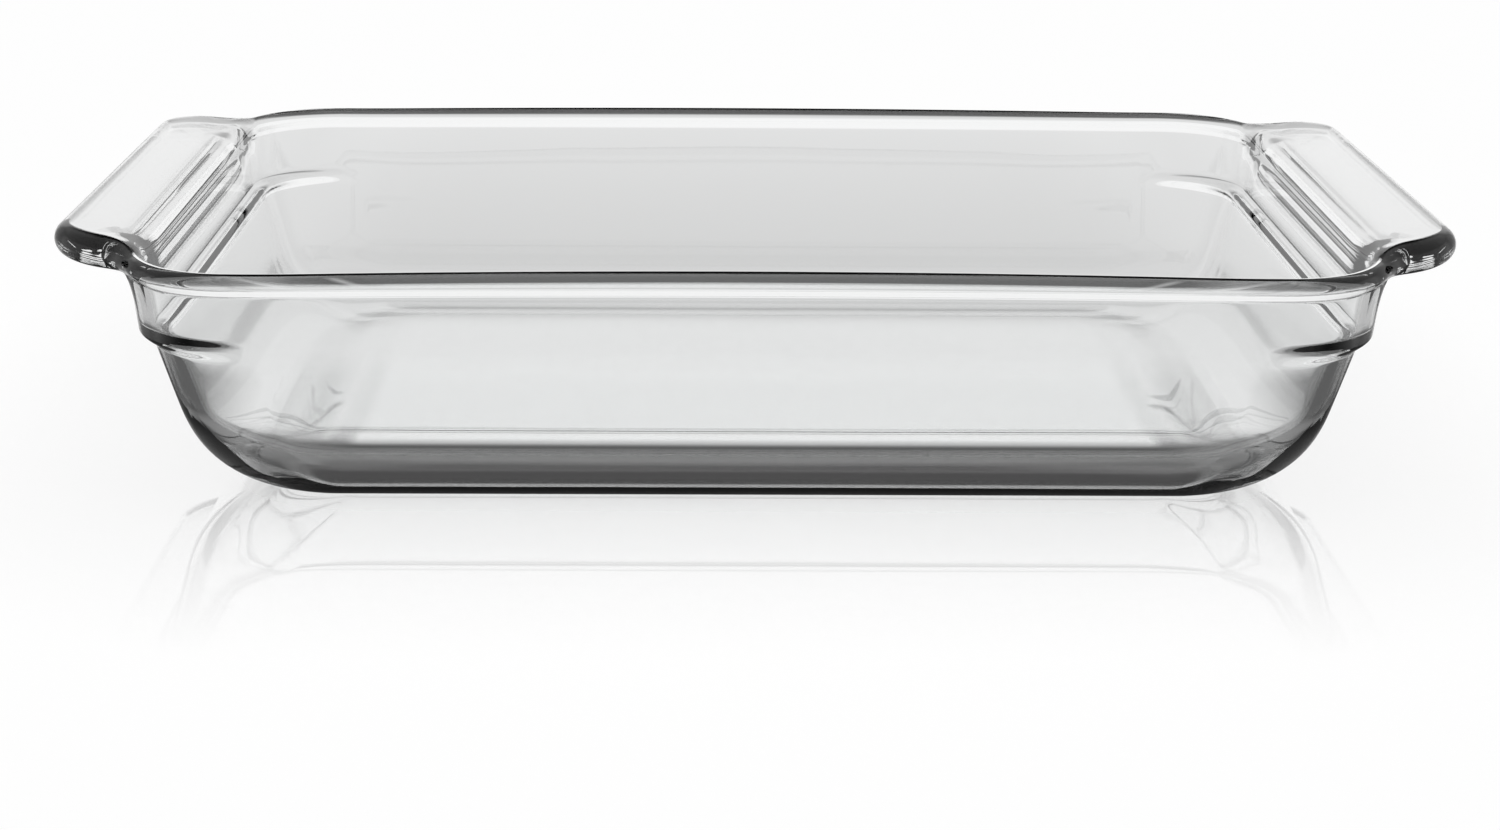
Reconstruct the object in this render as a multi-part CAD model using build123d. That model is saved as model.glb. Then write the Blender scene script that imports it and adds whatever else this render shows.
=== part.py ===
from build123d import *
import os
from math import atan, atan2, cos, degrees, pi, radians, sin, sqrt, tan

# Lasagna dish pressed from clear glass in one piece, with a wing handle at each end.
# Sizes are millimetres and drafts are degrees. X runs along the dish, Y across it and Z up.
# The origin is the centre of the flat base.

# Outside of the base and the drafted walls
base_flat_length = 260.0
base_flat_width = 184.0
base_corner_radius = 13.0
end_base_radius = 33.0
side_base_radius = 20.5
end_draft = 16.0
side_draft = 7.5
wall_corner_radius = 33.0
rim_height = 68.5

# Wider band above the ledge at both ends: the ledge dies out along the long walls
ledge_height = 42.0
ledge_rise = 4.0
ledge_step = 3.8
band_draft = 4.5

# Glass thickness and the rounding inside
floor_thickness = 6.0
end_wall_thickness = 5.2
side_wall_thickness = 5.0
end_inside_radius = 30.0
side_inside_radius = 25.0
inside_corner_radius = 16.0

# Bead that stiffens the rim, with its crest rounded inside and outside
bead_height = 7.0
bead_step = 1.6
rim_round = 3.0

# Wing handles: a tilted plate with a rolled edge, which flares into the corners of the rim
handle_reach = 25.8
handle_length = 182.0
handle_rise = 4.0
handle_thickness = 9.6
handle_edge_round = 4.6
handle_edge_limit_share = 0.48
handle_corner_radius = 15.0
handle_flare_radius = 9.0
handle_root_angle = 20.0
handle_root_depth = 10.0

# Concave web between the underside of each wing and the band, with its ends thinned out
web_radius = 8.0
web_sink = 0.25
web_back = 3.0
web_end_share = 0.1

# Overrun of the cutting solid past the glass, and the gap within which two edges are the same
cut_overrun = 10.0
match_gap = 0.01

# Steps of the smooth skins between their named heights
arc_steps = 6
ledge_steps = 4
bead_steps = 3
crest_steps = 4


def drafted_half(flat_half, radius, draft, height):
    """Half size of a flat that rounds up into a drafted wall, at a height above the flat."""
    lean = radians(draft)
    arc_top = radius * (1 - sin(lean))
    if height <= arc_top:
        return flat_half + sqrt(radius**2 - (radius - height) ** 2)
    return flat_half + radius * cos(lean) + (height - arc_top) * tan(lean)


def arc_heights(radius, draft):
    """Heights up the rounding of the base, evenly spaced round its arc."""
    sweep = pi / 2 - radians(draft)
    return [radius * (1 - cos(sweep * step / arc_steps)) for step in range(arc_steps + 1)]


def between(low, high, steps):
    """Evenly spaced heights after low, up to and with high."""
    return [low + (high - low) * step / steps for step in range(1, steps + 1)]


def eased(low, high, height):
    """Share of a smooth step that is done at a height, from 0 at low to 1 at high."""
    share = min(max((height - low) / (high - low), 0), 1)
    return (1 - cos(pi * share)) / 2


def crest_inset(height):
    """How far the rounded crest draws a face back at a height."""
    above = min(max(height - rim_height + rim_round, 0), rim_round)
    return rim_round - sqrt(rim_round**2 - above**2)


def end_half(flat_half, radius, flat_height, height, ledge_bottom):
    """Half length at a height, for a skin whose flat lies at flat_height."""
    lower = min(height, ledge_bottom) - flat_height
    wall = drafted_half(flat_half, radius, end_draft, lower)
    step = ledge_step * eased(ledge_bottom, ledge_bottom + ledge_rise, height)
    band = max(height - ledge_bottom, 0) * tan(radians(band_draft))
    return wall + step + band


def grown_corner(flat_corner, wall_corner, flat_half, base_radius, half):
    """Plan corner radius, which grows with the half length until the wall begins."""
    full_growth = base_radius * cos(radians(end_draft))
    return flat_corner + (wall_corner - flat_corner) * min((half - flat_half) / full_growth, 1)


# Half sizes of the flats: the inside ones follow from the wall thickness
outer_flat = (base_flat_length / 2, base_flat_width / 2)


def inner_flat_half(outer_half, outer_radius, inner_radius, wall, draft):
    """Half size of the inside floor that leaves the wall at its thickness."""
    lean = radians(draft)
    arc_top = floor_thickness + inner_radius * (1 - sin(lean))
    wall_run = arc_top - outer_radius * (1 - sin(lean))
    outer_wall = outer_half + outer_radius * cos(lean) + wall_run * tan(lean)
    return outer_wall - wall / cos(lean) - inner_radius * cos(lean)


inner_flat = (
    inner_flat_half(outer_flat[0], end_base_radius, end_inside_radius, end_wall_thickness, end_draft),
    inner_flat_half(outer_flat[1], side_base_radius, side_inside_radius, side_wall_thickness, side_draft),
)
inner_wall_corner = wall_corner_radius - side_wall_thickness
inner_ledge_height = ledge_height + end_wall_thickness * tan(pi / 4 - radians(end_draft) / 2)


def outer_outline(height):
    """Half length, half width and corner radius of the outside at a height."""
    length = end_half(outer_flat[0], end_base_radius, 0, height, ledge_height)
    width = drafted_half(outer_flat[1], side_base_radius, side_draft, height)
    corner = grown_corner(base_corner_radius, wall_corner_radius, outer_flat[0], end_base_radius, length)
    proud = bead_step * eased(rim_height - bead_height, rim_height - rim_round, height) - crest_inset(height)
    return length + proud, width + proud, corner + proud


def inner_outline(height):
    """Half length, half width and corner radius of the inside at a height."""
    length = end_half(inner_flat[0], end_inside_radius, floor_thickness, height, inner_ledge_height)
    width = drafted_half(inner_flat[1], side_inside_radius, side_draft, height - floor_thickness)
    corner = grown_corner(inside_corner_radius, inner_wall_corner, inner_flat[0], end_inside_radius, length)
    open_out = crest_inset(height)
    return length + open_out, width + open_out, corner + open_out


def section(outline, height):
    """Level rounded rectangle of a skin."""
    length, width, corner = outline
    return Pos(0, 0, height) * RectangleRounded(2 * length, 2 * width, corner)


def crest_heights():
    """Heights up the quarter round of the crest."""
    base = rim_height - rim_round
    return [base + rim_round * sin(pi / 2 * step / crest_steps) for step in range(crest_steps + 1)]


def stacked(outline, stretches):
    """Solid skin made of one loft for each stretch of heights, joined where they meet."""
    lofts = [loft([section(outline(height), height) for height in heights]) for heights in stretches]
    return lofts[0].fuse(*lofts[1:])


def outer_body():
    """Solid block with the outside shape of the dish, without handles."""
    base = arc_heights(end_base_radius, end_draft)
    ledge_top = ledge_height + ledge_rise
    bead_foot = rim_height - bead_height
    crest = crest_heights()
    stretches = [
        base,
        [base[-1], ledge_height],
        [ledge_height] + between(ledge_height, ledge_top, ledge_steps),
        [ledge_top, bead_foot],
        [bead_foot] + between(bead_foot, crest[0], bead_steps),
        crest,
    ]
    return stacked(outer_outline, stretches)


def cavity():
    """Solid that fills the inside of the dish and stands above the rim."""
    base = [floor_thickness + rise for rise in arc_heights(end_inside_radius, end_draft)]
    ledge_top = inner_ledge_height + ledge_rise
    crest = crest_heights()
    stretches = [
        base,
        [base[-1], inner_ledge_height],
        [inner_ledge_height] + between(inner_ledge_height, ledge_top, ledge_steps),
        [ledge_top, crest[0]],
        crest,
    ]
    mouth = section(inner_outline(rim_height), rim_height)
    return stacked(inner_outline, stretches) + extrude(mouth, handle_rise + cut_overrun)


def circles_meet(centre, radius, other_centre, other_radius):
    """Where two circles meet, on the +Y side of the line between their centres."""
    across = other_centre - centre
    along = (radius**2 - other_radius**2 + across.length**2) / (2 * across.length)
    aside = sqrt(radius**2 - along**2)
    step = across.normalized()
    side = Vector(-step.Y, step.X) if step.X > 0 else Vector(step.Y, -step.X)
    return centre + step * along + side * aside


def flare_centre(corner_centre, rim_corner):
    """Centre of the flare, which touches the wing's corner and enters the rim at its angle."""
    length, _, corner = outer_outline(rim_height - rim_round)
    reach = handle_corner_radius + handle_flare_radius
    enter = radians(handle_root_angle)
    flare_x = length + handle_flare_radius * cos(enter)
    flare_y = corner_centre.Y + sqrt(reach**2 - (flare_x - corner_centre.X) ** 2)
    if flare_y - handle_flare_radius * sin(enter) < rim_corner.Y:
        return Vector(flare_x, flare_y), enter
    span = sqrt(corner**2 + handle_flare_radius**2 + 2 * corner * handle_flare_radius * cos(enter))
    turn = atan2(corner * sin(enter), handle_flare_radius + corner * cos(enter))
    centre = circles_meet(corner_centre, reach, rim_corner, span)
    return centre, turn + atan2(centre.Y - rim_corner.Y, centre.X - rim_corner.X)


def handle_edge():
    """Edge of the +X wing in plan for positive Y: nose, corner, flare and root."""
    length, width, corner = outer_outline(rim_height - rim_round)
    nose_x = inner_outline(rim_height)[0] + handle_reach
    corner_centre = Vector(nose_x - handle_corner_radius, handle_length / 2 - handle_corner_radius)
    centre, enter = flare_centre(corner_centre, Vector(length - corner, width - corner))
    to_flare = centre - corner_centre
    turn = degrees(atan2(to_flare.Y, to_flare.X))
    sweep = degrees(enter) - turn
    root = centre - Vector(cos(enter), sin(enter)) * handle_flare_radius
    inward = Vector(-sin(enter), cos(enter)) * handle_root_depth
    return [
        Line((nose_x, 0), (nose_x, corner_centre.Y)),
        CenterArc(corner_centre, handle_corner_radius, 0, turn),
        CenterArc(centre, handle_flare_radius, turn - 180, sweep),
        Line(root, root + inward),
    ]


def rolled_edges(plate, outline):
    """Top and bottom edges of the wing along its free edge."""
    lower = Vector(0, 0, -handle_thickness)
    middles = [piece.center() + shift for piece in outline for shift in (Vector(), lower)]
    return [piece for piece in plate.edges() if min((piece.center() - m).length for m in middles) < match_gap]


def wing_tilt():
    """Tilt of the wings about the mouth of the dish, in radians."""
    return atan(handle_rise / (handle_reach - handle_edge_round))


def handle_wing():
    """Wing at the +X end: a plate with a rolled edge, tilted up about the mouth of the dish."""
    half = handle_edge()
    outline = half + [mirror(piece, Plane.XZ) for piece in half]
    root = half[-1] @ 1
    inside_x = root.X - handle_root_depth
    inside = Polyline((root.X, -root.Y), (inside_x, -root.Y), (inside_x, root.Y), root)
    edges = [edge for piece in outline + [inside] for edge in piece.edges()]
    plate = extrude(make_face(edges), -handle_thickness)
    edge_round = min(handle_edge_round, handle_edge_limit_share * handle_thickness)
    plate = fillet(rolled_edges(plate, edges[: -len(inside.edges())]), edge_round)
    mouth = inner_outline(rim_height)[0]
    return Pos(mouth, 0, rim_height) * Rot(0, -degrees(wing_tilt()), 0) * Pos(-mouth, 0, 0) * plate


def under_corner():
    """Where the underside of the +X wing meets the band, at the middle of its length."""
    lean = tan(radians(band_draft))
    slope = tan(wing_tilt())
    ledge_top = ledge_height + ledge_rise
    band_foot = outer_outline(ledge_top)[0] - ledge_top * lean
    mouth = inner_outline(rim_height)[0]
    under_foot = rim_height - handle_thickness / cos(wing_tilt()) - mouth * slope
    height = (under_foot + band_foot * slope) / (1 - lean * slope)
    return Vector(band_foot + height * lean, 0, height)


def web_section(size_share):
    """Section of the web at a share of its size, with its back sunk into the glass."""
    lean = radians(band_draft)
    down = Vector(-sin(lean), 0, -cos(lean))
    out = Vector(cos(wing_tilt()), 0, sin(wing_tilt()))
    middle = (down + out).normalized()
    half_angle = radians(down.get_angle(out)) / 2
    radius = web_radius * size_share
    run = radius / tan(half_angle)
    crown = radius / sin(half_angle) - radius
    corner = under_corner()
    sunk = corner - middle * web_sink
    low, mid, high = sunk + down * run, sunk + middle * crown, sunk + out * run
    back = Polyline(high, corner - middle * web_back, low)
    return make_face(ThreePointArc(low, mid, high).edges() + back.edges())


def handle_web():
    """Web under the +X wing, along the straight of the end wall, thinned out towards both ends."""
    _, width, corner = outer_outline(rim_height - rim_round)
    end = min(handle_length / 2 - handle_edge_round, width - corner)
    full_end = end - (handle_corner_radius - handle_edge_round)
    full = web_section(1)
    taper = loft([Pos(0, full_end, 0) * full, Pos(0, end, 0) * web_section(web_end_share)])
    run = extrude(Pos(0, -full_end, 0) * full, 2 * full_end, dir=(0, 1, 0))
    return run.fuse(taper, mirror(taper, Plane.XZ))


def glass_dish():
    """The whole dish: the body, a wing on its web at each end, and the cavity pressed out of them."""
    handle = [handle_wing(), handle_web()]
    return outer_body().fuse(*handle, *(mirror(piece, Plane.YZ) for piece in handle)) - cavity()


os.makedirs("parts", exist_ok=True)
export_step(glass_dish(), "parts/glass_dish.step")
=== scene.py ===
"""Clear pressed glass lasagna dish with a wing handle at each end, on a plain pale floor.

The whole dish is one piece of glass, so its surface is one closed mesh. It is swept round the dish
as a loop of stations, and each station holds one profile: up the outside, round the rim or the
handle, and down the inside to the floor. Sizes of the dish are in millimetres and those of the
studio in metres.
"""

import logging
from dataclasses import dataclass, field
from enum import Enum
from math import acos, atan, atan2, cos, degrees, hypot, pi, radians, sin, sqrt, tan

import bpy
import numpy as np
from mathutils import Matrix, Vector


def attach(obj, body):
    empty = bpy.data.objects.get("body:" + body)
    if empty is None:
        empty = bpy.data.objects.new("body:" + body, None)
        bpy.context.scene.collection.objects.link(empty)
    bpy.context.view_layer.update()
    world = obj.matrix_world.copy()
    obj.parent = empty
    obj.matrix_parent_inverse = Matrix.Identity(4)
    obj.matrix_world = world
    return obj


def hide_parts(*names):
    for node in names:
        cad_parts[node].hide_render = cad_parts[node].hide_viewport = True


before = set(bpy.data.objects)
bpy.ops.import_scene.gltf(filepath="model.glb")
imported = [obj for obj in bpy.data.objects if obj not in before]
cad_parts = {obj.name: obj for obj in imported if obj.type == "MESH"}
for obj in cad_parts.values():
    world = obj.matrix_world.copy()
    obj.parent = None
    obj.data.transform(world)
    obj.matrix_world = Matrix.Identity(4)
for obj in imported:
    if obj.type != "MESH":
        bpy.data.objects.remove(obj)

LOG = logging.getLogger("lasagna_dish")
METRES = 0.001
DISH_NODE = "glass_dish"
WHITE = (1.0, 1.0, 1.0, 1.0)
BLACK = (0.0, 0.0, 0.0, 1.0)
LEAST_SQUARE = 0.000001

Point = tuple[float, float]
Point3 = tuple[float, float, float]
Stops = tuple[tuple[float, float], ...]


class Run(Enum):
    """Which stretch of the dish's rounded outline a station stands on."""

    END = "end"
    CORNER = "corner"
    LONG_SIDE = "long side"


def mix(first: float, second: float, share: float) -> float:
    """Value between two values at a share of the way."""
    return first + (second - first) * share


def eased(share: float) -> float:
    """Share of a smooth step, held between 0 and 1."""
    return (1 - cos(pi * min(max(share, 0.0), 1.0))) / 2


def spaced(low: float, high: float, steps: int) -> list[float]:
    """Evenly spaced values after low, up to and with high."""
    return [mix(low, high, step / steps) for step in range(1, steps + 1)]


def fillet_points(
    corner: Point, first: Point, second: Point, radius: float, steps: int
) -> list[Point]:
    """Points round the arc that joins two straight lines which leave a corner.

    Args:
        corner: Where the two lines meet.
        first: Unit direction of the line on which the arc starts.
        second: Unit direction of the line on which the arc ends.
        radius: Radius of the arc.
        steps: Number of equal steps round the arc.

    Returns:
        The points of the arc with both ends, from the first line to the second.
    """
    angle = acos(max(-1.0, min(1.0, first[0] * second[0] + first[1] * second[1])))
    bisector = np.array([first[0] + second[0], first[1] + second[1]])
    bisector = bisector / np.linalg.norm(bisector)
    centre = np.array(corner) + bisector * radius / sin(angle / 2)
    start = np.array(corner) + np.array(first) * radius / tan(angle / 2) - centre
    end = np.array(corner) + np.array(second) * radius / tan(angle / 2) - centre
    turn = atan2(start[0] * end[1] - start[1] * end[0], float(start @ end))
    points = []
    for step in range(steps + 1):
        part = turn * step / steps
        x = start[0] * cos(part) - start[1] * sin(part)
        y = start[0] * sin(part) + start[1] * cos(part)
        points.append((centre[0] + x, centre[1] + y))
    return points


def refined(points: np.ndarray, axis: int, closed: bool) -> np.ndarray:
    """Twice as many points along one axis of a grid, smoothed as a cubic spline surface is.

    Args:
        points: Grid of points.
        axis: Axis that is refined.
        closed: Whether the last point of the axis joins the first.

    Returns:
        The finer grid. Without closing, the two ends stay where they are.
    """
    rows = np.moveaxis(points, axis, 0)
    before, after = np.roll(rows, 1, axis=0), np.roll(rows, -1, axis=0)
    held = (before + 6 * rows + after) / 8
    between = (rows + after) / 2
    if not closed:
        held[0], held[-1] = rows[0], rows[-1]
    finer = np.empty((2 * len(rows), *rows.shape[1:]))
    finer[0::2], finer[1::2] = held, between
    if not closed:
        finer = finer[:-1]
    return np.moveaxis(finer, 0, axis)


@dataclass(frozen=True)
class Station:
    """One place on the loop round the dish, for the quarter with positive X and Y.

    Attributes:
        run: Stretch of the outline that it stands on.
        place: Share of the straight from its middle, or the angle round the corner in degrees.
        edge: Point on the handle's edge that the station reaches, or None away from the handle.
        edge_normal: Outward unit direction of the handle's edge there.
        wing: Share of the handle in the profile, from 0 on the plain rim to 1 on the handle.
    """

    run: Run
    place: float
    edge: Point | None = None
    edge_normal: Point = (1.0, 0.0)
    wing: float = 0.0


@dataclass(frozen=True)
class Outline:
    """Level rounded rectangle of a skin.

    Attributes:
        length: Half length.
        width: Half width.
        corner: Corner radius.
    """

    length: float
    width: float
    corner: float

    def at(self, station: Station) -> tuple[Point, Point]:
        """Point of the outline at a station, and its outward unit direction.

        Args:
            station: Place on the loop round the dish.

        Returns:
            The point, and the direction straight out of the outline there.
        """
        centre = (self.length - self.corner, self.width - self.corner)
        if station.run is Run.END:
            return (self.length, station.place * centre[1]), (1.0, 0.0)
        if station.run is Run.LONG_SIDE:
            return (station.place * centre[0], self.width), (0.0, 1.0)
        angle = radians(station.place)
        out = (cos(angle), sin(angle))
        return (centre[0] + self.corner * out[0], centre[1] + self.corner * out[1]), out


@dataclass(frozen=True)
class Skin:
    """Outside or inside surface of the dish between its flat and its rim.

    Attributes:
        flat_length: Half length of the flat.
        flat_width: Half width of the flat.
        flat_corner: Plan corner radius of the flat.
        flat_height: Height of the flat.
        end_radius: Radius from the flat up into the end walls.
        side_radius: Radius from the flat up into the long walls.
        wall_corner: Plan corner radius of the walls.
        ledge_bottom: Height at which the ledge of the end walls begins.
        end_draft: Lean of the end walls below the ledge.
        side_draft: Lean of the long walls.
        band_draft: Lean of the end walls above the ledge.
        ledge_rise: Height over which the ledge steps out.
        ledge_step: How far the ledge steps out.
    """

    flat_length: float
    flat_width: float
    flat_corner: float
    flat_height: float
    end_radius: float
    side_radius: float
    wall_corner: float
    ledge_bottom: float
    end_draft: float = radians(16.0)
    side_draft: float = radians(7.5)
    band_draft: float = radians(4.5)
    ledge_rise: float = 4.0
    ledge_step: float = 3.8

    def drafted(self, flat_half: float, radius: float, draft: float, rise: float) -> float:
        """Half size at a height above the flat.

        Args:
            flat_half: Half size of the flat.
            radius: Radius from the flat up into the wall.
            draft: Lean of the wall.
            rise: Height above the flat.

        Returns:
            The half size, on the arc or on the leaning wall above it.
        """
        arc_top = radius * (1 - sin(draft))
        if rise <= arc_top:
            return flat_half + sqrt(max(radius**2 - (radius - rise) ** 2, 0.0))
        return flat_half + radius * cos(draft) + (rise - arc_top) * tan(draft)

    def outline(self, height: float) -> Outline:
        """Rounded rectangle of the skin at a height.

        Args:
            height: Height above the table.

        Returns:
            The outline, with the ledge and the band of the end walls.
        """
        rise = min(height, self.ledge_bottom) - self.flat_height
        length = self.drafted(self.flat_length, self.end_radius, self.end_draft, rise)
        grown = (length - self.flat_length) / (self.end_radius * cos(self.end_draft))
        length += self.ledge_step * eased((height - self.ledge_bottom) / self.ledge_rise)
        length += max(height - self.ledge_bottom, 0.0) * tan(self.band_draft)
        above_flat = height - self.flat_height
        width = self.drafted(self.flat_width, self.side_radius, self.side_draft, above_flat)
        return Outline(length, width, mix(self.flat_corner, self.wall_corner, min(grown, 1.0)))

    def heights(
        self, top: float, arc_steps: int, wall_steps: int, ledge_steps: int, band_steps: int
    ) -> list[float]:
        """Heights of the skin's rows from its flat up to a top height.

        Args:
            top: Height of the last row.
            arc_steps: Steps up the arc from the flat.
            wall_steps: Steps up the wall.
            ledge_steps: Steps over the ledge.
            band_steps: Steps up the band above the ledge.

        Returns:
            The heights in order, with the flat's own as the first.
        """
        sweep = pi / 2 - self.end_draft
        turns = [sweep * step / arc_steps for step in range(arc_steps + 1)]
        rows = [self.flat_height + self.end_radius * (1 - cos(turn)) for turn in turns]
        rows += spaced(rows[-1], self.ledge_bottom, wall_steps)
        rows += spaced(self.ledge_bottom, self.ledge_bottom + self.ledge_rise, ledge_steps)
        return rows + spaced(self.ledge_bottom + self.ledge_rise, top, band_steps)


@dataclass(frozen=True)
class Handle:
    """Wing handle in plan and in section, for the end with positive X.

    Attributes:
        reach: Distance from the middle of the dish to the handle's outer edge.
        half_length: Half length along the end of the dish.
        corner_radius: Radius of the outer corners in plan.
        flare_radius: Radius in plan of the arc from the corner into the rim's corner.
        thickness: Thickness of the rolled edge.
        rise: How far the top stands above the rim at the outer edge.
        end_drop: Fall of the top for each millimetre that the edge turns back towards the dish.
        rise_lead: How many times sooner than the rest of the section the top rises at the flare.
        under_slope: Slope of the underside, as a share of the top's.
        web_radius: Radius of the hollow between the end wall and the underside.
        web_share: Most of the run from the wall to the edge that the hollow's radius may be.
        web_foot: Height on the end wall at which the rows of the web begin.
        least_run: Least run from the wall to the rolled edge.
        straight_stations: Stations along half of the straight edge.
        corner_stations: Stations round the outer corner.
        flare_stations: Stations along the flare.
        fan_start: Distance along the rim of the station at which the corner begins.
        fan_middle: Distance along the rim of the station at which the flare begins.
    """

    reach: float = 195.9
    half_length: float = 91.0
    corner_radius: float = 19.0
    flare_radius: float = 20.0
    thickness: float = 9.4
    rise: float = 3.9
    end_drop: float = 0.11
    rise_lead: float = 2.0
    under_slope: float = 0.9
    web_radius: float = 11.5
    web_share: float = 0.8
    web_foot: float = 47.0
    least_run: float = 3.0
    straight_stations: int = 12
    corner_stations: int = 16
    flare_stations: int = 16
    fan_start: float = 60.0
    fan_middle: float = 78.0

    def edge_stations(self, rim: Outline) -> list[Station]:
        """Stations from the middle of the handle to the end of its flare into the rim's corner.

        Args:
            rim: Outermost outline of the rim.

        Returns:
            The stations in order. The last one stands where the flare meets the rim.
        """
        centre = (self.reach - self.corner_radius, self.half_length - self.corner_radius)
        rim_centre = (rim.length - rim.corner, rim.width - rim.corner)
        flare = self._flare_centre(centre, rim_centre, rim.corner)
        stations = []
        for step in range(self.straight_stations):
            share = step / self.straight_stations
            edge = (self.reach, centre[1] * share)
            stations.append(self._station(rim, self.fan_start * share, edge, (1.0, 0.0), 1.0))
        turn = atan2(flare[1] - centre[1], flare[0] - centre[0])
        for step in range(self.corner_stations):
            share = step / self.corner_stations
            out = (cos(turn * share), sin(turn * share))
            edge = tuple(c + self.corner_radius * o for c, o in zip(centre, out))
            along = mix(self.fan_start, self.fan_middle, share)
            stations.append(self._station(rim, along, edge, out, 1.0))
        meet = atan2(flare[1] - rim_centre[1], flare[0] - rim_centre[0])
        finish = rim_centre[1] + rim.corner * meet
        for step in range(self.flare_stations + 1):
            share = step / self.flare_stations
            angle = mix(turn - pi, meet - pi, share)
            out = (-cos(angle), -sin(angle))
            edge = tuple(f - self.flare_radius * o for f, o in zip(flare, out))
            along = mix(self.fan_middle, finish, 1 - (1 - share) ** 2)
            stations.append(self._station(rim, along, edge, out, 1 - eased(share)))
        return stations

    def _flare_centre(self, centre: Point, rim_centre: Point, rim_corner: float) -> Point:
        """Centre of the arc that touches both the handle's corner and the rim's corner.

        Args:
            centre: Centre of the handle's corner.
            rim_centre: Centre of the rim's corner.
            rim_corner: Radius of the rim's corner.

        Returns:
            The centre in plan.
        """
        near = self.corner_radius + self.flare_radius
        far = rim_corner + self.flare_radius
        across = (rim_centre[0] - centre[0], rim_centre[1] - centre[1])
        gap = hypot(*across)
        along = (near**2 - far**2 + gap**2) / (2 * gap)
        aside = sqrt(near**2 - along**2)
        step = (across[0] / gap, across[1] / gap)
        x = centre[0] + step[0] * along + step[1] * aside
        y = centre[1] + step[1] * along - step[0] * aside
        return x, y

    def _station(
        self, rim: Outline, along: float, edge: Point, normal: Point, wing: float
    ) -> Station:
        """Station at a distance along the rim from the middle of the end.

        Args:
            rim: Outermost outline of the rim.
            along: Distance along the rim.
            edge: Point on the handle's edge that the station reaches.
            normal: Outward unit direction of the edge there.
            wing: Share of the handle in the profile.

        Returns:
            The station, on the end or round the corner.
        """
        straight = rim.width - rim.corner
        if along <= straight:
            return Station(Run.END, along / straight, edge, normal, wing)
        return Station(Run.CORNER, degrees((along - straight) / rim.corner), edge, normal, wing)


@dataclass(frozen=True)
class Rim:
    """Rounded rim with its bead, and how far it crowns up along the long sides.

    Attributes:
        height: Height of the top at the ends.
        bead_height: Height of the bead.
        bead_step: How far the bead stands out from the wall.
        round: Radius of the rim's edges.
        handle_inside_round: Radius of the inside edge along the handles.
        handle_inside_set: How far outside the inside wall that edge's corner stands.
        handle_inside_drop: How far below the rim it stands.
        crown_front: How far the middle of the front side crowns up.
        crown_back: How far the middle of the back side does.
        dip_front: How far the whole front side lies lower.
        crown_foot: Height from which the walls follow the crown.
        crown_share: Share of the inside's half width past its flat that the crown comes in over.
    """

    height: float = 68.5
    bead_height: float = 7.0
    bead_step: float = 1.6
    round: float = 3.6
    handle_inside_round: float = 5.5
    handle_inside_set: float = 0.25
    handle_inside_drop: float = 0.6
    crown_front: float = 1.4
    crown_back: float = 0.8
    dip_front: float = 0.75
    crown_foot: float = 46.0
    crown_share: float = 0.25


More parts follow.
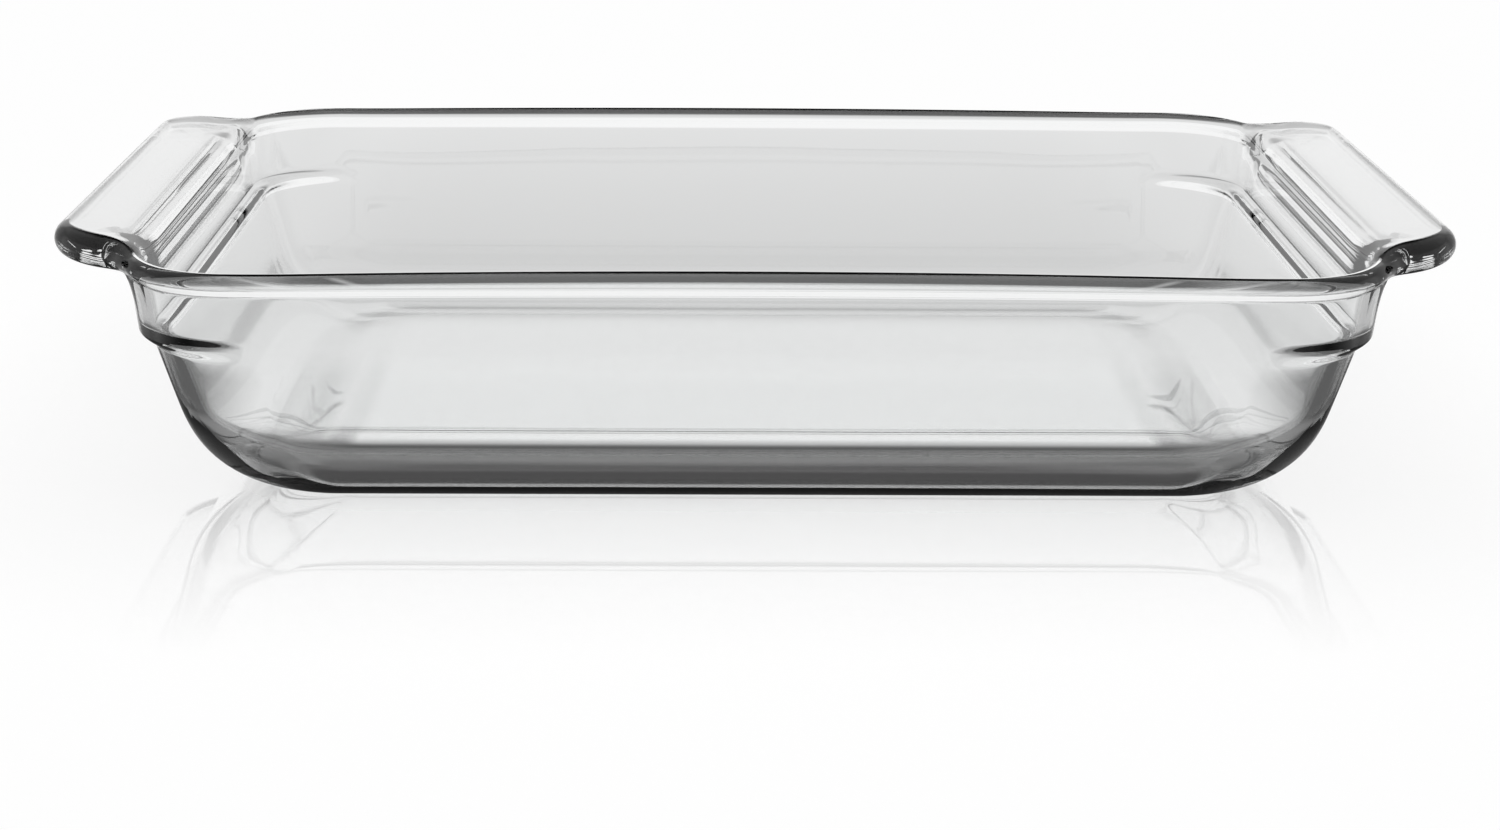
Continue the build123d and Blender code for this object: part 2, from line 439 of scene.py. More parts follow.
@dataclass
class GlassDish:
    """The dish: outside and inside skins, the rim and the two handles, as one closed mesh.

    Attributes:
        rim: Rim and its crown.
        handle: Handle of either end.
        outside: Outside surface up to the rim.
        inside: Inside surface up to the rim.
        arc_rows: Rows of the profile up the arc from a flat.
        wall_rows: Rows up a wall.
        ledge_rows: Rows over a ledge.
        band_rows: Rows up the band above a ledge.
        web_rows: Rows round the hollow under a handle.
        under_rows: Rows along a handle's underside.
        nose_rows: Rows round a quarter of a rounded edge.
        top_rows: Rows across the top.
        inside_round_rows: Rows round the inside edge of the rim.
        corner_stations: Stations round the rest of a corner, past the handle.
        side_stations: Stations along half of a long side.
        flat_ring_shares: Shares of its half size at which a flat has rings.
    """

    rim: Rim = field(default_factory=Rim)
    handle: Handle = field(default_factory=Handle)
    outside: Skin = Skin(
        flat_length=130.0, flat_width=93.7, flat_corner=19.0, flat_height=0.0,
        end_radius=33.0, side_radius=18.5, wall_corner=32.0, ledge_bottom=42.0,
    )
    inside: Skin = Skin(
        flat_length=128.57, flat_width=88.0, flat_corner=19.0, flat_height=6.0,
        end_radius=30.0, side_radius=20.2, wall_corner=27.0, ledge_bottom=45.92, ledge_rise=3.0,
    )
    arc_rows: int = 12
    wall_rows: int = 5
    ledge_rows: int = 8
    band_rows: int = 6
    web_rows: int = 10
    under_rows: int = 5
    nose_rows: int = 8
    top_rows: int = 7
    inside_round_rows: int = 8
    corner_stations: int = 20
    side_stations: int = 16
    flat_ring_shares: tuple[float, ...] = (0.5, 0.9, 0.985)

    def rim_outline(self) -> Outline:
        """Outermost outline of the rim, at the widest of its bead.

        Returns:
            The outline, without the handles.
        """
        wall = self.outside.outline(self.rim.height - self.rim.round)
        step = self.rim.bead_step
        return Outline(wall.length + step, wall.width + step, wall.corner + step)

    def stations(self) -> list[Station]:
        """Stations of one quarter, from the middle of the end to that of the long side.

        Returns:
            The stations in order, those of the handle first.
        """
        stations = self.handle.edge_stations(self.rim_outline())
        first = stations[-1].place
        for step in range(1, self.corner_stations + 1):
            stations.append(Station(Run.CORNER, mix(first, 90.0, step / self.corner_stations)))
        for step in range(1, self.side_stations + 1):
            stations.append(Station(Run.LONG_SIDE, 1 - step / self.side_stations))
        return stations

    def profile(self, station: Station) -> list[Point3]:
        """Points of the whole profile at a station, from the centre of the base to that of the floor.

        Args:
            station: Place on the loop round the dish.

        Returns:
            The points in order.
        """
        rows = self._flat_rings(self.outside, station)
        heights = self.outside.heights(
            self.handle.web_foot, self.arc_rows, self.wall_rows, self.ledge_rows, self.band_rows
        )
        rows += [self._on_skin(self.outside, station, height) for height in heights]
        plain, inside_round = self._plain_rim(station)
        if station.wing > 0:
            winged, winged_round = self._handle_rim(station)
            plain = self._blended(plain, winged, station.wing)
            inside_round = self._blended(inside_round, winged_round, station.wing)
        rows += plain + inside_round
        top = inside_round[-1][2]
        heights = self.inside.heights(
            top, self.arc_rows, self.wall_rows, self.ledge_rows, self.band_rows
        )
        rows += [self._on_skin(self.inside, station, height) for height in reversed(heights[:-1])]
        return rows + list(reversed(self._flat_rings(self.inside, station)))

    def _flat_rings(self, skin: Skin, station: Station) -> list[Point3]:
        """Points of the rings that fill a flat, from the innermost outwards."""
        (x, y), _ = skin.outline(skin.flat_height).at(station)
        return [(x * share, y * share, skin.flat_height) for share in self.flat_ring_shares]

    def _on_skin(self, skin: Skin, station: Station, height: float) -> Point3:
        """Point of a skin at a station and a height."""
        (x, y), _ = skin.outline(height).at(station)
        return x, y, height

    def _blended(
        self, first: list[Point3], second: list[Point3], share: float
    ) -> list[Point3]:
        """Points between two rows of points, each at the same share of the way."""
        return [tuple(mix(a, b, share) for a, b in zip(p, q)) for p, q in zip(first, second)]

    def _plain_rim(self, station: Station) -> tuple[list[Point3], list[Point3]]:
        """Rim away from the handles: up the band and the bead to the top, and the inside rounding.

        Args:
            station: Place on the loop round the dish.

        Returns:
            The rows up to the inside edge of the top, and the rows round that edge.
        """
        rim = self.rim
        foot = rim.height - rim.bead_height
        shoulder = rim.height - rim.round
        band = spaced(self.handle.web_foot, foot, self.web_rows)
        rows = [self._on_skin(self.outside, station, z) for z in band]
        for z in spaced(foot, shoulder, self.under_rows + self.nose_rows):
            wall = self.outside.outline(z)
            proud = rim.bead_step * eased((z - foot) / (shoulder - foot))
            bead = Outline(wall.length + proud, wall.width + proud, wall.corner + proud)
            (x, y), _ = bead.at(station)
            rows.append((x, y, z))
        (x, y), out = self.rim_outline().at(station)
        for n in range(1, self.nose_rows + 1):
            angle = pi / 2 * n / self.nose_rows
            back = rim.round * (1 - cos(angle))
            rows.append((x - back * out[0], y - back * out[1], shoulder + rim.round * sin(angle)))
        (inner_x, inner_y), inner_out = self.inside.outline(shoulder).at(station)
        top = (inner_x + rim.round * inner_out[0], inner_y + rim.round * inner_out[1])
        outer_top = rows[-1]
        for share in spaced(0.0, 1.0, self.top_rows):
            x, y = mix(outer_top[0], top[0], share), mix(outer_top[1], top[1], share)
            rows.append((x, y, rim.height))
        inner = []
        for n in range(1, self.inside_round_rows + 1):
            angle = pi / 2 * n / self.inside_round_rows
            back = rim.round * sin(angle)
            height = rim.height - rim.round * (1 - cos(angle))
            inner.append((top[0] - back * inner_out[0], top[1] - back * inner_out[1], height))
        return rows, inner

    def _handle_rim(self, station: Station) -> tuple[list[Point3], list[Point3]]:
        """Rim with the handle: web, underside, rolled edge, top, and the inside rounding.

        Args:
            station: Place on the loop round the dish, on a handle.

        Returns:
            The rows up to the inside edge of the top, and the rows round that edge.
        """
        rim, handle = self.rim, self.handle
        nose = mix(rim.round, handle.thickness / 2, station.wing)
        edge, normal = np.array(station.edge), np.array(station.edge_normal)
        centre = edge - nose * normal
        front = handle.reach - handle.thickness / 2
        risen = handle.rise - handle.end_drop * (front - centre[0])
        top_height = rim.height + risen * min(1.0, handle.rise_lead * station.wing)
        under_height = top_height - handle.thickness
        (band_x, band_y), out = self.outside.outline(rim.height - rim.bead_height).at(station)
        run = (centre[0] - band_x) * out[0] + (centre[1] - band_y) * out[1]
        run = max(run, handle.least_run)
        lean = tan(self.outside.band_draft)
        slope = handle.rise / (front - band_x) * handle.under_slope
        corner_height = under_height - slope * run
        base = np.array([band_x, band_y])
        sink = lean * (rim.height - rim.bead_height - corner_height)
        down = (-sin(self.outside.band_draft), -cos(self.outside.band_draft))
        away = (cos(atan(slope)), sin(atan(slope)))
        radius = min(handle.web_radius, handle.web_share * run)
        web = fillet_points((-sink, corner_height), down, away, radius, self.web_rows - 1)
        rows = [self._lifted(base, out, point) for point in web]
        start = np.array(rows[-1])
        finish = np.array([centre[0], centre[1], under_height])
        shares = spaced(0.0, 1.0, self.under_rows)
        rows += [tuple(start + (finish - start) * share) for share in shares]
        middle = top_height - handle.thickness / 2
        for n in range(1, 2 * self.nose_rows + 1):
            angle = pi / 2 * n / self.nose_rows
            spot = centre + normal * nose * sin(angle)
            rows.append((spot[0], spot[1], middle - handle.thickness / 2 * cos(angle)))
        (inner_x, inner_y), inner_out = self.inside.outline(rim.height - rim.round).at(station)
        top_slope = (top_height - rim.height) / run
        down = (-sin(self.inside.band_draft), -cos(self.inside.band_draft))
        away = (cos(atan(top_slope)), sin(atan(top_slope)))
        corner = (rim.handle_inside_set, rim.height - rim.handle_inside_drop * station.wing)
        radius = rim.handle_inside_round
        rounding = fillet_points(corner, away, down, radius, self.inside_round_rows)
        base = np.array([inner_x, inner_y])
        inner = [self._lifted(base, inner_out, point) for point in rounding]
        start, finish = np.array(rows[-1]), np.array(inner[0])
        shares = spaced(0.0, 1.0, self.top_rows)
        rows += [tuple(start + (finish - start) * share) for share in shares]
        return rows, inner[1:]

    def _lifted(self, base: np.ndarray, out: Point, point: Point) -> Point3:
        """Point of a section that stands outwards from a base point in plan."""
        return base[0] + point[0] * out[0], base[1] + point[0] * out[1], point[1]

    def _crowned(self, points: np.ndarray) -> np.ndarray:
        """Points with the rim lifted a little in the middle of the long sides.

        Args:
            points: Points of the whole surface.

        Returns:
            The lifted points.
        """
        rim = self.rim
        lifted = points.copy()
        straight = self.inside.flat_length
        along = np.clip(1 - (points[..., 0] / straight) ** 2, 0.0, None)
        outwards = np.abs(points[..., 1]) / self.inside.flat_width - 1
        across = np.clip(outwards, 0.0, rim.crown_share) / rim.crown_share
        wall = rim.height - rim.crown_foot
        height = np.clip((points[..., 2] - rim.crown_foot) / wall, 0.0, 1.0)
        crown = np.where(points[..., 1] < 0, rim.crown_front, rim.crown_back) * along
        crown -= np.where(points[..., 1] < 0, rim.dip_front, 0.0)
        lifted[..., 2] += crown * across * height**2
        return lifted

    def grid(self) -> np.ndarray:
        """Points of the whole surface: stations round the dish by rows of the profile.

        Returns:
            The grid, with the crown of the long sides.
        """
        quarter = np.array([self.profile(station) for station in self.stations()])
        flip_x, flip_y = np.array([-1.0, 1.0, 1.0]), np.array([1.0, -1.0, 1.0])
        half = np.concatenate([quarter, (quarter * flip_x)[-2::-1]])
        loop = np.concatenate([half, (half * flip_y)[-2:0:-1]])
        return self._crowned(loop)

    def build(self) -> bpy.types.Object:
        """Closed mesh of the dish.

        Returns:
            The new object, smooth and linked to the scene.
        """
        points = refined(refined(self.grid(), 0, True), 1, False)
        around, rows, _ = points.shape
        index = np.arange(around * rows).reshape(around, rows)
        faces = []
        for n in range(around):
            here, there = index[n], index[(n + 1) % around]
            faces += [(here[k], there[k], there[k + 1], here[k + 1]) for k in range(rows - 1)]
        faces.append(tuple(reversed(index[:, 0])))
        faces.append(tuple(index[:, -1]))
        mesh = bpy.data.meshes.new(f"{DISH_NODE}_surface")
        corners = [tuple(map(int, face)) for face in faces]
        mesh.from_pydata((points.reshape(-1, 3) * METRES).tolist(), [], corners)
        mesh.validate()
        mesh.polygons.foreach_set("use_smooth", [True] * len(mesh.polygons))
        piece = bpy.data.objects.new("pressed_glass_dish", mesh)
        bpy.context.scene.collection.objects.link(piece)
        return piece


class Socket:
    """Output of a shader node, with operators that add Math nodes."""

    def __init__(self, graph: "Graph", output: bpy.types.NodeSocket) -> None:
        """Wraps an output of a node in a graph."""
        self.graph = graph
        self.output = output

    def _math(self, operation: str, first: "Socket | float", second: "Socket | float") -> "Socket":
        """Result of a Math node."""
        return self.graph.node("ShaderNodeMath", {"operation": operation}, {0: first, 1: second})

    def __add__(self, other: "Socket | float") -> "Socket":
        """Sum."""
        return self._math("ADD", self, other)

    def __radd__(self, other: float) -> "Socket":
        """Sum with a number first."""
        return self._math("ADD", other, self)

    def __sub__(self, other: "Socket | float") -> "Socket":
        """Difference."""
        return self._math("SUBTRACT", self, other)

    def __rsub__(self, other: float) -> "Socket":
        """Difference with a number first."""
        return self._math("SUBTRACT", other, self)

    def __mul__(self, other: "Socket | float") -> "Socket":
        """Product."""
        return self._math("MULTIPLY", self, other)

    def __rmul__(self, other: float) -> "Socket":
        """Product with a number first."""
        return self._math("MULTIPLY", other, self)

    def __truediv__(self, other: "Socket | float") -> "Socket":
        """Quotient."""
        return self._math("DIVIDE", self, other)

    def __pow__(self, other: "Socket | float") -> "Socket":
        """Power."""
        return self._math("POWER", self, other)

    def __abs__(self) -> "Socket":
        """Value without its sign."""
        return self._math("ABSOLUTE", self, 0.0)

    def at_least(self, other: "Socket | float") -> "Socket":
        """The larger of two values."""
        return self._math("MAXIMUM", self, other)

    def at_most(self, other: "Socket | float") -> "Socket":
        """The smaller of two values."""
        return self._math("MINIMUM", self, other)

    def held(self) -> "Socket":
        """Value held between 0 and 1."""
        return self.at_least(0.0).at_most(1.0)

    def beside(self, output: int | str) -> "Socket":
        """Another output of the same node."""
        return Socket(self.graph, self.output.node.outputs[output])


Link = Socket | float | tuple[float, ...]


class Graph:
    """Node tree that is built from values and links."""

    def __init__(self, tree: bpy.types.NodeTree) -> None:
        """Starts an empty tree."""
        self.tree = tree
        tree.nodes.clear()

    def node(
        self,
        kind: str,
        settings: dict[str, object] | None = None,
        inputs: dict[int | str, Link] | None = None,
        output: int | str = 0,
    ) -> Socket:
        """Adds a node.

        Args:
            kind: Type of the node.
            settings: Values of the node itself, which are set first. Its key stops holds the
                stops of a ramp.
            inputs: Values or links of its sockets, by number or name.
            output: Number or name of the output that is returned.

        Returns:
            The chosen output.
        """
        node = self.tree.nodes.new(kind)
        for name, value in (settings or {}).items():
            if name == "stops":
                self._set_stops(node.color_ramp, value)
            else:
                setattr(node, name, value)
        for name, value in (inputs or {}).items():
            if isinstance(value, Socket):
                self.tree.links.new(value.output, node.inputs[name])
            else:
                node.inputs[name].default_value = value
        return Socket(self, node.outputs[output]) if node.outputs else Socket(self, None)

    def _set_stops(
        self, ramp: bpy.types.ColorRamp, stops: list[tuple[float, tuple[float, ...]]]
    ) -> None:
        """Gives a ramp its stops.

        Args:
            ramp: Colour ramp.
            stops: Place and colour of each stop.
        """
        while len(ramp.elements) > 1:
            ramp.elements.remove(ramp.elements[-1])
        for number, (place, colour) in enumerate(stops):
            stop = ramp.elements[0] if number == 0 else ramp.elements.new(place)
            stop.position, stop.color = place, colour


@dataclass(frozen=True)
class ClearGlass:
    """Fire-polished clear pressed glass with the slow waves that pressing leaves in it.

    Attributes:
        colour: Tint of the light that passes a surface.
        index: Index of refraction.
        roughness: Roughness of the polished surface.
        wave_scale: How many waves there are to a metre.
        wave_height: Height of the waves in metres.
    """

    colour: tuple[float, float, float, float] = (0.97, 0.975, 0.975, 1.0)
    index: float = 1.5
    roughness: float = 0.0
    wave_scale: float = 22.0
    wave_height: float = 0.00004

    def material(self) -> bpy.types.Material:
        """Glass material.

        Returns:
            The new material.
        """
        made = bpy.data.materials.new("clear_pressed_glass")
        made.use_nodes = True
        graph = Graph(made.node_tree)
        place = graph.node("ShaderNodeTexCoord", output="Object")
        slow = {"Vector": place, "Scale": self.wave_scale, "Detail": 1.0}
        waves = graph.node("ShaderNodeTexNoise", {}, slow)
        low = {"Height": waves, "Distance": self.wave_height, "Strength": 1.0}
        bump = graph.node("ShaderNodeBump", {}, low)
        glass = graph.node(
            "ShaderNodeBsdfPrincipled",
            {},
            {
                "Base Color": self.colour,
                "Roughness": self.roughness,
                "IOR": self.index,
                "Transmission Weight": 1.0,
                "Normal": bump,
            },
        )
        graph.node("ShaderNodeOutputMaterial", {}, {"Surface": glass})
        return made


@dataclass(frozen=True)
class PhotoCamera:
    """Camera at the photograph's place and angle.

    Attributes:
        place: Where it stands, in metres.
        yaw: Turn to the right of straight ahead.
        pitch: Tilt below the level.
        roll: Turn round its own axis.
        focal_pixels: Focal length in the photograph's pixels.
        picture_width: Width of the photograph in pixels.
        sensor: Sensor width in millimetres.
        nearest: Least distance that it sees.
        farthest: Greatest distance that it sees.
    """

    place: Point3 = (-0.01297, -0.81798, 0.24334)
    yaw: float = radians(0.865)
    pitch: float = radians(16.963)
    roll: float = radians(-0.468)
    focal_pixels: float = 2729.7
    picture_width: float = 1500.0
    sensor: float = 36.0
    nearest: float = 0.01
    farthest: float = 20.0

    def build(self) -> bpy.types.Object:
        """Adds the camera and makes it the scene's own.

        Returns:
            The new camera.
        """
        data = bpy.data.cameras.new("photo_camera")
        data.sensor_width = self.sensor
        data.lens = self.focal_pixels / self.picture_width * self.sensor
        data.clip_start, data.clip_end = self.nearest, self.farthest
        level_share = cos(self.pitch)
        forward = Vector((sin(self.yaw) * level_share, cos(self.yaw) * level_share, -sin(self.pitch)))
        right = Vector((cos(self.yaw), -sin(self.yaw), 0.0))
        down = forward.cross(right)
        level = right * cos(self.roll) + down * sin(self.roll)
        drop = down * cos(self.roll) - right * sin(self.roll)
        camera = bpy.data.objects.new("photo_camera", data)
        axes = Matrix((level, -drop, -forward)).transposed()
        camera.matrix_world = Matrix.Translation(self.place) @ axes.to_4x4()
        bpy.context.scene.collection.objects.link(camera)
        bpy.context.scene.camera = camera
        return camera


@dataclass(frozen=True)
class PaintedPatch:
    """Stretch of the table that the glass sees with painted shade on it, when dark, and painted
    light, when bright.

    Attributes:
        across: Least and greatest distance from the dish's middle, along X.
        along: Least and greatest Y.
        soft: Width over which it fades in at its edges.
        strength: Share of the full effect.
    """

    across: Point
    along: Point
    soft: float
    strength: float

    def mask(self, across: Socket, y: Socket) -> Socket:
        """Strength within the zone, which fades to 0 at its edges.

        Args:
            across: Distance from the dish's middle, along X.
            y: Place along Y.

        Returns:
            The strength at each point.
        """
        shares = []
        for value, (low, high) in ((across, self.across), (y, self.along)):
            past_low, short_of_high = (value - low) / self.soft, (high - value) / self.soft
            shares.append(past_low.held() * short_of_high.held())
        return shares[0] * shares[1] * self.strength


@dataclass(frozen=True)
class PaintedShadowRing:
    """Painted shadow on the table in a ring round the outline of the base, which the glass sees.

    Attributes:
        inner: Distance outside the outline at which it begins, negative inside it.
        outer: Distance at which it ends.
        inner_soft: Width over which it fades in.
        outer_soft: Width over which it fades out.
        front: Share of the full effect on the side of the camera.
        back: Share of the full effect on the far side.
        turn: Places along Y between which the far side turns into the near one.
    """

    inner: float
    outer: float
    inner_soft: float
    outer_soft: float
    front: float
    back: float
    turn: Point = (-0.045, -0.075)

    def mask(self, beyond: Socket, y: Socket) -> Socket:
        """Strength of the painted shadow at a distance outside the outline.

        Args:
            beyond: Distance outside the outline, negative inside it.
            y: Place along Y.

        Returns:
            The strength at each point.
        """
        inside = ((beyond - self.inner) / self.inner_soft).held()
        outside = ((self.outer - beyond) / self.outer_soft).held()
        front = ((self.turn[0] - y) / (self.turn[0] - self.turn[1])).held()
        return inside * outside * (self.back + (self.front - self.back) * front)


@dataclass(frozen=True)
class Studio:
    """Glossy white table, white backdrop, dim ceiling and a soft light straight overhead.

    The camera sees a plain white table. The glass sees the backdrop mirrored in the table, with
    painted shade and painted light on it: a painted shadow of the dish that fades with distance, a
    painted shadow ring round the base, painted shade under the handles and patches of painted light.

    Attributes:
        floor_half: Half size of the table.
        floor_gap: Gap between the table and the dish, so that their faces never lie in each other.
        footprint: Half length and half width of the dish's base, less its corner radius.
        footprint_corner: Corner radius of the base.
        table_white: Brightness of the table to the camera.
        shadow_share: Share of the table's white that comes from light falling on it.
        sheen_reach: How far from the base the table mirrors the dish.
        sheen: How strongly it does so at the base.
        sheen_fade: How fast that fades, as a power.
        sheen_tint: Brightness of that mirror image.
        sheen_roughness: Roughness of that mirror image.
        shade_near: How bright the table mirrors the backdrop next to the dish, under its painted
            shadow.
        shade_reach: How far from the base the painted shadow of the dish reaches.
        shade_stretch: How many times faster that fades along X than along Y.
        under_size: Half sizes of the patch under the dish that the painted shadow leaves out.
        under_power: Power of the superellipse that bounds that patch.
        under_edge: How sharply that patch ends.
        painted_shadow_ring: Painted shadow in a ring round the base, stronger on the near side.
        painted_shade_zones: Stretches of painted shade on the table, under the handles.
        painted_light_zones: Stretches of painted light on the table.
        painted_glow: Brightness of the painted light.
        least_glow: Share of that brightness that the whole table has.
        backdrop: Brightness round the dish low down, from the near side to the far side.
        ceiling: Brightness higher up, from the near side to the far side.
        ceiling_rise: Share of the ceiling over the backdrop, by height.
        overhead: Brightness of the light overhead.
        overhead_start: Height at which that light begins.
        overhead_soft: Height over which it comes in.
    """

    floor_half: float = 4.0
    floor_gap: float = 0.0003
    footprint: Point = (0.111, 0.0747)
    footprint_corner: float = 0.019
    table_white: float = 1.01
    shadow_share: float = 0.15
    sheen_reach: float = 0.125
    sheen: float = 0.6
    sheen_fade: float = 1.2
    sheen_tint: float = 0.88
    sheen_roughness: float = 0.02
    shade_near: float = 0.62
    shade_reach: float = 0.75
    shade_stretch: float = 3.5
    under_size: Point = (0.2, 0.108)
    under_power: float = 4.0
    under_edge: float = 1.6
    # Painted shadow in a ring round the base, strongest on the near side.
    painted_shadow_ring: PaintedShadowRing = PaintedShadowRing(
        inner=-0.0165, outer=0.045, inner_soft=0.004, outer_soft=0.03, front=0.68, back=0.14
    )
    # Painted shade on the table under each handle and in front of it.
    painted_shade_zones: tuple[PaintedPatch, ...] = (
        PaintedPatch(across=(0.155, 0.27), along=(-0.18, 0.03), soft=0.03, strength=0.85),
    )
    # Painted light: a thin line just inside each end of the base, a patch behind each handle, one
    # under the far half of the dish and one in front of it.
    painted_light_zones: tuple[PaintedPatch, ...] = (
        PaintedPatch(across=(0.1205, 0.1265), along=(-0.075, 0.04), soft=0.003, strength=0.6),
        PaintedPatch(across=(0.165, 0.5), along=(0.085, 0.5), soft=0.03, strength=0.5),
        PaintedPatch(across=(-0.1, 0.2), along=(0.01, 0.155), soft=0.03, strength=0.8),
        PaintedPatch(across=(-0.1, 0.2), along=(-0.6, -0.13), soft=0.03, strength=0.8),
    )
    painted_glow: float = 0.72
    least_glow: float = 0.08
    backdrop: Stops = ((0.0, 0.9), (0.65, 0.9), (0.74, 0.5), (0.9, 0.5), (0.945, 0.95), (1.0, 0.97))
    ceiling: Stops = ((0.0, 0.6), (0.93, 0.6), (0.955, 0.4), (0.98, 0.05))
    ceiling_rise: Stops = ((0.4, 0.0), (0.52, 1.0), (0.95, 1.0), (0.985, 0.0))
    overhead: float = 0.95
    overhead_start: float = 0.95
    overhead_soft: float = 0.03

    def floor(self) -> bpy.types.Object:
        """Adds the table, which is white to the camera and mirrors the backdrop to the glass.

        Returns:
            The table.
        """
        half = self.floor_half
        mesh = bpy.data.meshes.new("floor")
        corners = [(-half, -half, 0), (half, -half, 0), (half, half, 0), (-half, half, 0)]
        mesh.from_pydata(corners, [], [(0, 1, 2, 3)])
        floor = bpy.data.objects.new("floor", mesh)
        bpy.context.scene.collection.objects.link(floor)
        mesh.materials.append(self._table())
        floor.location.z = -self.floor_gap
        return floor

    def _table(self) -> bpy.types.Material:
        """Material of the table.

        Returns:
            The material, with one look for the camera and one for the glass.
        """
        # The table holds painted shade and painted light that only the glass sees.
        made = bpy.data.materials.new("glossy_white_table_with_painted_shade_and_light")
        made.use_nodes = True
        graph = Graph(made.node_tree)
        place = graph.node("ShaderNodeNewGeometry", output="Position")
        x = graph.node("ShaderNodeSeparateXYZ", {}, {0: place})
        y = x.beside(1)
        seen = self._seen_table(graph, abs(x), abs(y))
        through = self._mirroring_table(graph, abs(x), y)
        camera = graph.node("ShaderNodeLightPath", output="Is Camera Ray")
        table = graph.node("ShaderNodeMixShader", {}, {0: camera, 1: through, 2: seen})
        graph.node("ShaderNodeOutputMaterial", {}, {"Surface": table})
        return made

    def _seen_table(self, graph: Graph, across: Socket, along: Socket) -> Socket:
        """Table as the camera sees it: white, with the dish's shadow and its fading mirror image.

        Args:
            graph: Node tree of the table's material.
            across: Distance from the dish's middle, along X.
            along: Distance from the dish's middle, along Y.

        Returns:
            The shader.
        """
        beyond = self._beyond(across, along, 1.0)
        sheen = (1 - (beyond / self.sheen_reach).at_most(1.0)) ** self.sheen_fade * self.sheen
        plain_strength = self.table_white - self.shadow_share
        white = graph.node("ShaderNodeEmission", {}, {"Color": WHITE, "Strength": plain_strength})
        grey = (2 * self.shadow_share,) * 3 + (1.0,)
        lit = graph.node("ShaderNodeBsdfDiffuse", {}, {"Color": grey})
        plain = graph.node("ShaderNodeAddShader", {}, {0: white, 1: lit})
        tint = (self.sheen_tint,) * 3 + (1.0,)
        mirror = {"Color": tint, "Roughness": self.sheen_roughness}
        image = graph.node("ShaderNodeBsdfGlossy", {}, mirror)
        return graph.node("ShaderNodeMixShader", {}, {0: sheen, 1: plain, 2: image})

    def _mirroring_table(self, graph: Graph, across: Socket, y: Socket) -> Socket:
        """Table as the glass sees it: a mirror with painted shade and painted light on it.

        Args:
            graph: Node tree of the table's material.
            across: Distance from the dish's middle, along X.
            y: Place along Y.

        Returns:
            The shader.
        """
        along = abs(y)
        # Painted shadow of the dish: the mirror is dimmer next to the dish and brightens with
        # distance, except in the patch under it.
        near = (self._beyond(across, along, self.shade_stretch) / self.shade_reach).at_most(1.0)
        wide, deep = across / self.under_size[0], along / self.under_size[1]
        under = (wide**self.under_power + deep**self.under_power) ** 0.5
        shade = self.shade_near + (1 - self.shade_near) * near
        shade = shade + (1 - shade) * ((1 - under) * self.under_edge).held()
        # Painted shade under the handles.
        for zone in self.painted_shade_zones:
            shade = shade * (1 - zone.mask(across, y))
        # Painted shadow in a ring round the base.
        ring = self.painted_shadow_ring.mask(self._beyond(across, along, 1.0), y)
        shade = shade * (1 - ring)
        dark = graph.node("ShaderNodeEmission", {}, {"Color": BLACK, "Strength": 0.0})
        mirror = graph.node("ShaderNodeBsdfGlossy", {}, {"Color": WHITE, "Roughness": 0.0})
        table = graph.node("ShaderNodeMixShader", {}, {0: shade, 1: dark, 2: mirror})
        # Patches of painted light glow on the table.
        painted_glow = graph.node("ShaderNodeEmission", {}, {"Color": WHITE, "Strength": self.painted_glow})
        for zone in self.painted_light_zones:
            share = zone.mask(across, y) * (1 - ring)
            table = graph.node("ShaderNodeMixShader", {}, {0: share, 1: table, 2: painted_glow})
        return graph.node("ShaderNodeMixShader", {}, {0: self.least_glow, 1: table, 2: painted_glow})

    def _beyond(self, across: Socket, along: Socket, stretch: float) -> Socket:
        """Distance outside the base's rounded outline, negative inside it.

        Args:
            across: Distance from the dish's middle, along X.
            along: Distance from the dish's middle, along Y.
            stretch: How many times farther a distance along X counts.

        Returns:
            The distance.
        """
        dx = (across - self.footprint[0]) * stretch
        dy = along - self.footprint[1]
        outside = (dx.at_least(0.0) ** 2 + dy.at_least(0.0) ** 2) ** 0.5
        return outside + dx.at_least(dy).at_most(0.0) - self.footprint_corner

    def world(self) -> None:
        """Lights the dish from the backdrop all round and from the soft light overhead."""
        world = bpy.data.worlds.new("studio")
        bpy.context.scene.world = world
        world.use_nodes = True
        graph = Graph(world.node_tree)
        direction = graph.node("ShaderNodeTexCoord", output="Generated")
        x = graph.node("ShaderNodeSeparateXYZ", {}, {0: direction})
        y, height = x.beside(1), x.beside(2)
        facing = y / (x**2 + y**2).at_least(LEAST_SQUARE) ** 0.5 * 0.5 + 0.5
        low = self._ramp(graph, self.backdrop, facing)
        high = self._ramp(graph, self.ceiling, facing)
        rise = self._ramp(graph, self.ceiling_rise, height)
        light = high * rise
        above = ((height - self.overhead_start) / self.overhead_soft).held() * (1 - rise)
        light = light + (self.overhead - light) * above
        ray = graph.node("ShaderNodeLightPath", output="Is Camera Ray")
        glass = ray.beside("Is Glossy Ray").at_least(ray.beside("Is Transmission Ray"))
        share = ray.at_least(glass * low * (1 - rise) * (1 - above))
        black = graph.node("ShaderNodeBackground", {}, {"Color": BLACK, "Strength": 1.0})
        white = graph.node("ShaderNodeBackground", {}, {"Color": WHITE, "Strength": 1.0})
        lit = graph.node("ShaderNodeMixShader", {}, {0: light, 1: black, 2: white})
        seen = graph.node("ShaderNodeMixShader", {}, {0: share, 1: lit, 2: white})
        graph.node("ShaderNodeOutputWorld", {}, {"Surface": seen})

    def _ramp(self, graph: Graph, stops: Stops, place: Socket) -> Socket:
        """Brightness that follows stops along a value."""
        colours = [(at, (light, light, light, 1.0)) for at, light in stops]
        return graph.node("ShaderNodeValToRGB", {"stops": colours}, {0: place})


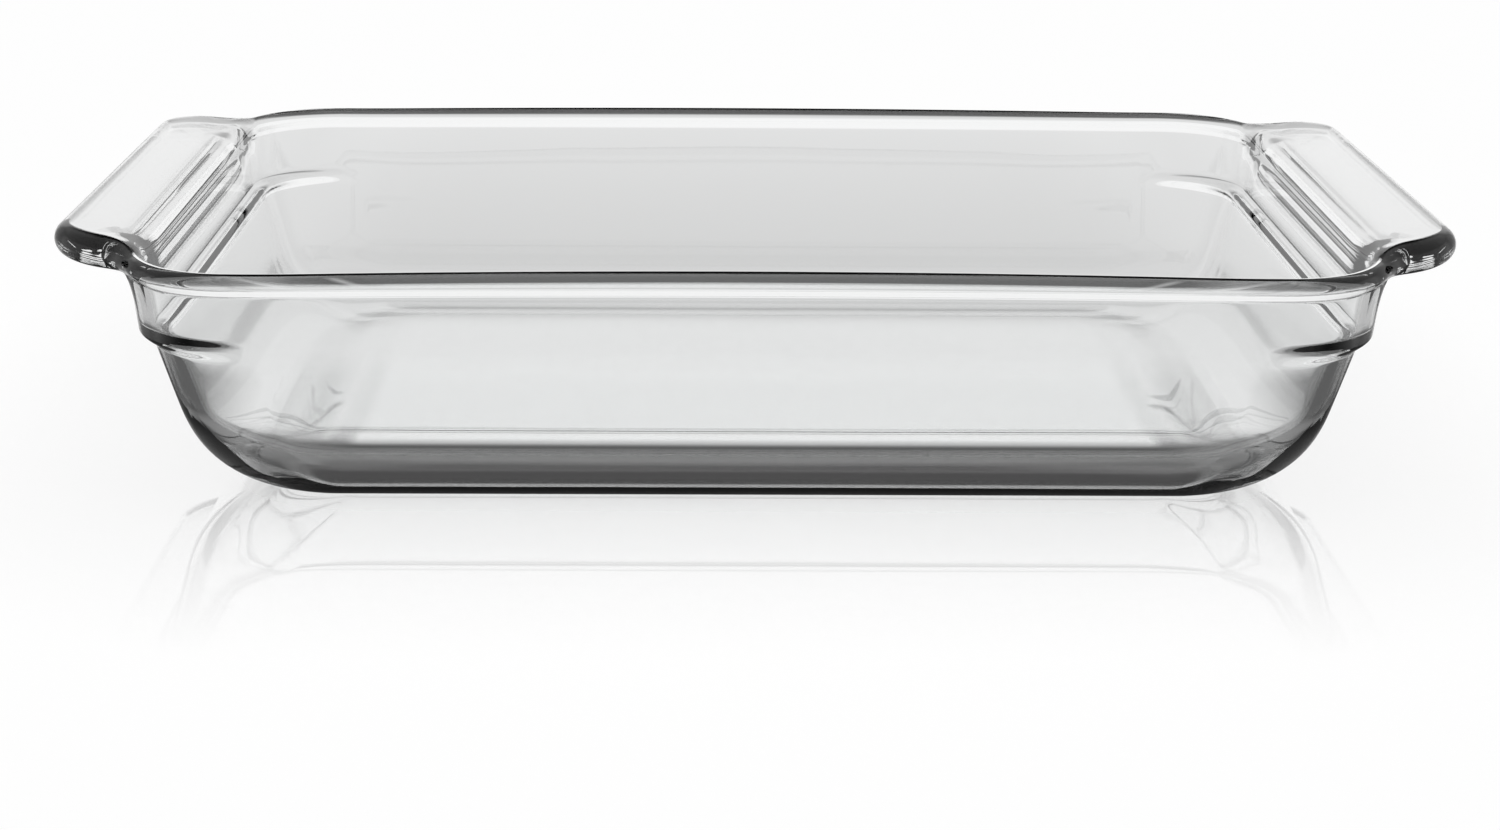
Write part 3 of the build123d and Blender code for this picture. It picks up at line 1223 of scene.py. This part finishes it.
def main() -> None:
    """Builds the dish and the studio, and logs the dish's number of vertices."""
    logging.basicConfig(level=logging.INFO, format="%(message)s")
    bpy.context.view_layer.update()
    dish = GlassDish().build()
    dish.data.materials.append(ClearGlass().material())
    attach(dish, "root")
    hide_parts(DISH_NODE)
    LOG.info("%s: %d vertices", dish.name, len(dish.data.vertices))
    studio = Studio()
    studio.floor()
    studio.world()
    PhotoCamera().build()
    bpy.context.scene.view_settings.view_transform = "Standard"


if __name__ == "__main__":
    main()
